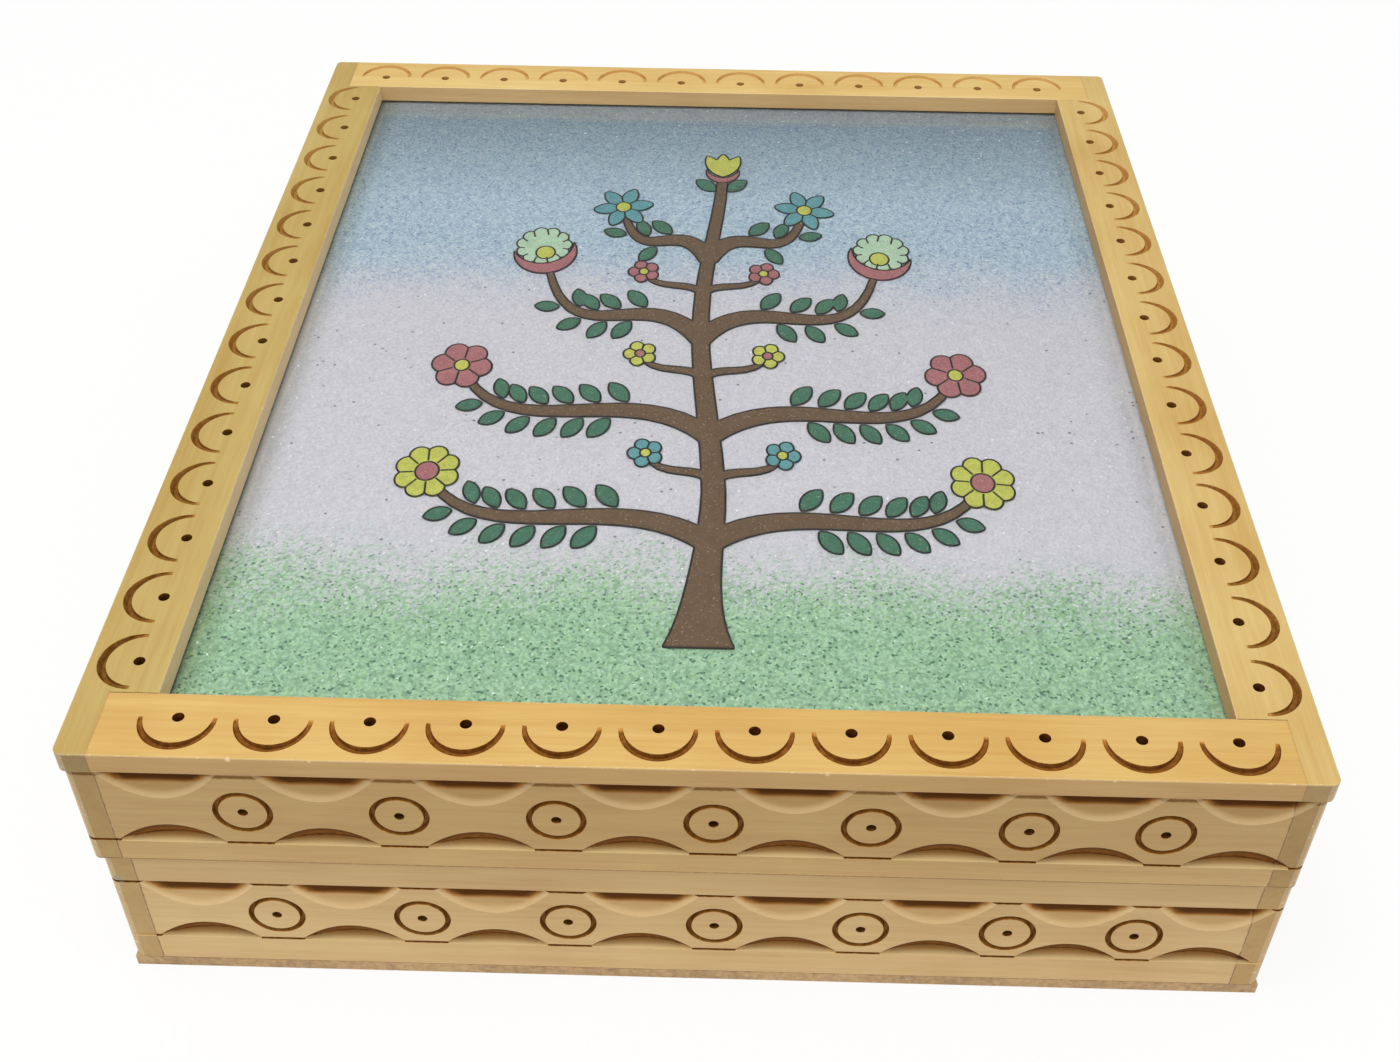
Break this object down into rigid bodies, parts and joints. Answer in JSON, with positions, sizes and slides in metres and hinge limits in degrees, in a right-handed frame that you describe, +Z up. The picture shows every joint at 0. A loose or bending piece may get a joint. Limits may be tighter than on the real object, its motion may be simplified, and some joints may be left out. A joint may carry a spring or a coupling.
{
  "type": "painted wooden box",
  "caption": "Flat carved wooden box: hinged lid with a framed tree picture in stone dust under a clear pane, over a shallow lined tray.",
  "frame": {"origin": "middle of the underside, straight below the middle of the lid's frame", "axes": "+X to the right seen from the front, +Y from the front to the hinges, +Z up"},
  "size_m": [0.203, 0.2466, 0.058],
  "materials": {
    "frame_wood": "satin",
    "wall_wood": "satin",
    "plain_board": "matte",
    "clear_pane": "polished",
    "stone_dust": "matte",
    "brown_inlay": "matte",
    "green_inlay": "matte",
    "yellow_inlay": "matte",
    "red_inlay": "matte",
    "blue_inlay": "matte",
    "pale_inlay": "matte",
    "velvet": "matte",
    "hinge_brass": "satin",
    "nail_steel": "satin"
  },
  "bodies": {
    "base": {"base_wall_front": "wall_wood", "base_wall_back": "wall_wood", "base_wall_left": "wall_wood", "base_wall_right": "wall_wood", "bottom_board": "plain_board", "base_lining": "velvet", "base_corner_nails": "nail_steel", "bottom_nails": "nail_steel", "left_hinge_base_leaf": "hinge_brass", "left_hinge_pin": "hinge_brass", "left_hinge_base_screws": "hinge_brass", "right_hinge_base_leaf": "hinge_brass", "right_hinge_pin": "hinge_brass", "right_hinge_base_screws": "hinge_brass"},
    "lid": {"lid_rail_front": "frame_wood", "lid_rail_back": "frame_wood", "lid_rail_left": "frame_wood", "lid_rail_right": "frame_wood", "lid_wall_front": "wall_wood", "lid_wall_back": "wall_wood", "lid_wall_left": "wall_wood", "lid_wall_right": "wall_wood", "clear_pane": "clear_pane", "dust_field": "stone_dust", "tree_inlay": "brown_inlay", "leaf_inlays": "green_inlay", "yellow_inlays": "yellow_inlay", "red_inlays": "red_inlay", "blue_inlays": "blue_inlay", "pale_inlays": "pale_inlay", "lid_backing": "plain_board", "lid_lining": "velvet", "lid_corner_nails": "nail_steel", "left_hinge_lid_leaf": "hinge_brass", "left_hinge_lid_screws": "hinge_brass", "right_hinge_lid_leaf": "hinge_brass", "right_hinge_lid_screws": "hinge_brass"}
  },
  "joints": [
    {"name": "lid_hinge", "type": "hinge", "parent": "base", "child": "lid", "pos_m": [0, 0.1232, 0.0312], "axis": [-1, 0, 0], "range_deg": [0, 180]}
  ]
}
